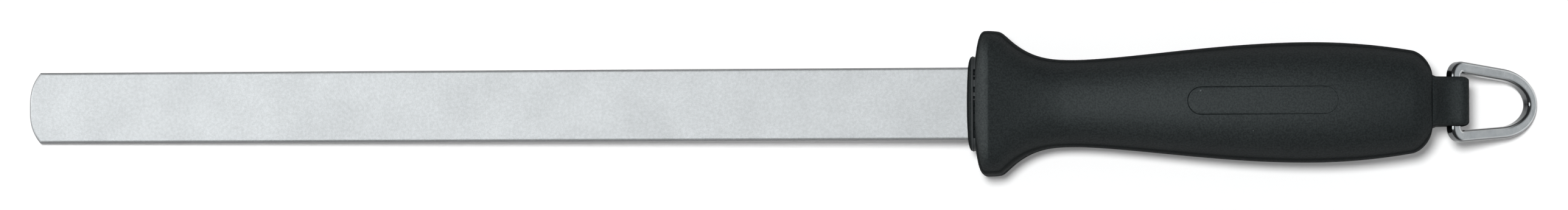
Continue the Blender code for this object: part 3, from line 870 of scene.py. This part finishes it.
# %% Sweeping the wire
bend_centre = np.array([BASE_BEND - BASE_BACK, base - trim])
turns = np.linspace(0, math.pi - bend, 17)
bends = [bend_centre + BASE_BEND * np.array([-math.cos(a), math.sin(a)]) for a in turns]
shares = np.linspace(0, 1, 25)[1:-1]
legs = [bends[-1] + (np.array(end[0]) - bends[-1]) * share for share in shares]
half_path = [np.array([-BASE_BACK, STUB]), *bends, *legs, *[np.array(point) for point in end]]
path = np.array(half_path + [point * (1, -1) for point in half_path[-2::-1]])
ahead = np.gradient(path, axis=0)
ahead[0], ahead[-1] = path[1] - path[0], path[-1] - path[-2]
ahead /= np.linalg.norm(ahead, axis=1)[:, None]
flat_half = WIRE / 2 - WIRE_CORNER
corner = [(WIRE / 2, flat_half - FLAT_STEP)]
for angle in np.linspace(0, math.pi / 2, 9):
    y, z = WIRE_CORNER * math.cos(angle), WIRE_CORNER * math.sin(angle)
    corner.append((flat_half + y, flat_half + z))
corner.append((flat_half - FLAT_STEP, WIRE / 2))
wire_section = []
for _ in range(4):
    wire_section += corner
    corner = [(-z, y) for y, z in corner]
rings = []
for (u, v), (du, dv) in zip(path, ahead):
    rings.append([(u - dv * y, v + du * y, z) for y, z in wire_section])
ring = skin("wire_ring", rings)
hang = tool @ Matrix.Translation(pivot) @ Matrix.Rotation(droop, 4, "Y")
lay_down(ring, nickel, "ring", "hanging_ring", hang)

# %% [markdown]
# ## What stays from the frame
# The core and the two pins are plain moulded and cut pieces inside the handle, and nobody sees
# them. Their frame meshes are good enough as they are, so they only get a finish.

# %% Hidden pieces
CORE_TONES = (0.085, 0.085, 0.085), (0.115, 0.115, 0.115)
core_grey = grained_plastic("core_grey", *CORE_TONES, roughness=0.6, shine=0.4, dust=0.0)
hidden = {"tang_core": core_grey, "tang_pin_front": steel, "tang_pin_rear": steel}
for node, material in hidden.items():
    mesh = frame["nodes"][node].data
    mesh.materials.clear()
    mesh.materials.append(material)
    print(node, "is finished in", material.name)

# %% [markdown]
# ## Table
# The steel lies on a plain white sheet. It only has to be white and to catch the shadow, so it is
# one large quad. To the camera and in reflections it glows a little on top of what the lamps
# give, which lifts its lit parts to white.

# %% White sheet
FLOOR = 40.0  # half a side
FLOOR_GAP = 0.00005
GLOW = 0.14
PAPER_WHITE = (0.95, 0.922, 0.918, 1)
corners = [(-FLOOR, -FLOOR, 0), (FLOOR, -FLOOR, 0), (FLOOR, FLOOR, 0), (-FLOOR, FLOOR, 0)]
sheet = bpy.data.meshes.new("white_sheet")
sheet.from_pydata(corners, [], [(0, 1, 2, 3)])
floor = bpy.data.objects.new("white_sheet", sheet)
floor.location.z = -FLOOR_GAP
bpy.context.scene.collection.objects.link(floor)
paper = bpy.data.materials.new("white_paper")
paper.use_nodes = True
tree = paper.node_tree
tree.nodes.clear()
path_of_light = add_node(tree, "LightPath").outputs
seen = path_of_light["Is Camera Ray"]
for mirrored in ("Is Glossy Ray", "Is Transmission Ray"):
    links = {0: seen, 1: path_of_light[mirrored]}
    seen = add_node(tree, "Math", links, operation="MAXIMUM").outputs[0]
lift = add_node(tree, "Math", {0: seen, 1: GLOW}, operation="MULTIPLY").outputs[0]
glow = add_node(tree, "Emission", {"Strength": lift})
matt = add_node(tree, "BsdfDiffuse", {"Color": PAPER_WHITE})
both = add_node(tree, "AddShader", {0: glow.outputs[0], 1: matt.outputs[0]})
add_node(tree, "OutputMaterial", {"Surface": both.outputs[0]})
sheet.materials.append(paper)
print("white sheet of", 2 * FLOOR, "m")

# %% [markdown]
# ## Light
# One lamp almost overhead lights everything and draws the soft shadow along the near edges. It is
# kept out of reflections, as a filter on the lens would do. Two more boxes show only as sheen, so
# they throw no second shadow: a wide one above the handle, for the soft light on the belly, and a
# low one on the left, for the front of the guard. The room is even and dim with a paler wall on
# the right, so that metal shows dark lines beside bright ones.

# %% Lamps and room
COOL = (0.96, 0.995, 1.0)
ROOM_DIM, ROOM_PALE = (0.125, 0.13, 0.132), (0.52, 0.54, 0.55)


def lamp(name, direction, distance, size, watts):
    """A soft oval lamp that looks back at the middle of the table."""
    data = bpy.data.lights.new(name, "AREA")
    data.shape = "ELLIPSE"
    data.size, data.size_y = size
    data.energy = watts
    data.color = COOL
    made = bpy.data.objects.new(name, data)
    way = Vector(direction).normalized()
    made.location = way * distance
    made.rotation_euler = way.to_track_quat("Z", "Y").to_euler()
    made.visible_camera = False
    bpy.context.scene.collection.objects.link(made)
    print(name, "of", watts, "W")
    return made


overhead = lamp("overhead", (-0.06, 0.05, 1.0), distance=3.0, size=(0.45, 0.45), watts=75)
overhead.visible_glossy = False
sheen_box = lamp("sheen_box", (-0.335, 0.0, 1.0), distance=1.05, size=(0.50, 1.35), watts=8.5)
sheen_box.visible_diffuse = False
low_box = lamp("low_box", (-1.0, 0.12, 0.28), distance=1.6, size=(0.8, 0.5), watts=11.5)
low_box.visible_diffuse = False

room = bpy.data.worlds.new("room")
bpy.context.scene.world = room
room.use_nodes = True
tree = room.node_tree
tree.nodes.clear()
way = add_node(tree, "TexCoord").outputs["Generated"]
right = add_node(tree, "SeparateXYZ", {"Vector": way}).outputs["X"]
walls = ramp(tree, right, [(0.6, ROOM_DIM), (0.95, ROOM_PALE)])
light = add_node(tree, "Background", {"Color": walls})
add_node(tree, "OutputWorld", {"Surface": light.outputs[0]})

# %% [markdown]
# ## Camera
# The picture is taken from above with a long lens, leaning a few degrees to the near side, so the
# loop of the ring and the near edge of the blade show. A long lens keeps the blade from tapering.

# %% Camera
LENS = 180.0
SENSOR = 36.0
VIEW_END = 100.0
CAMERA_AT = (0.0503, -0.1130, 2.1689)
LEAN = math.radians(2.998)
SIDE_LEAN = math.radians(1.314)
ROLL = math.radians(-0.070)
camera_data = bpy.data.cameras.new("camera")
camera_data.lens = LENS
camera_data.sensor_width = SENSOR
camera_data.clip_end = VIEW_END
camera = bpy.data.objects.new("camera", camera_data)
camera.location = CAMERA_AT
aim = Matrix.Rotation(SIDE_LEAN, 3, "Y") @ Matrix.Rotation(LEAN, 3, "X")
aim = aim @ Matrix.Rotation(ROLL, 3, "Z")
camera.rotation_euler = aim.to_euler()
bpy.context.scene.collection.objects.link(camera)
bpy.context.scene.camera = camera
bpy.context.scene.view_settings.view_transform = "Standard"
print("camera at", [round(v, 3) for v in camera.location])

# %% Last update of the scene
bpy.context.view_layer.update()
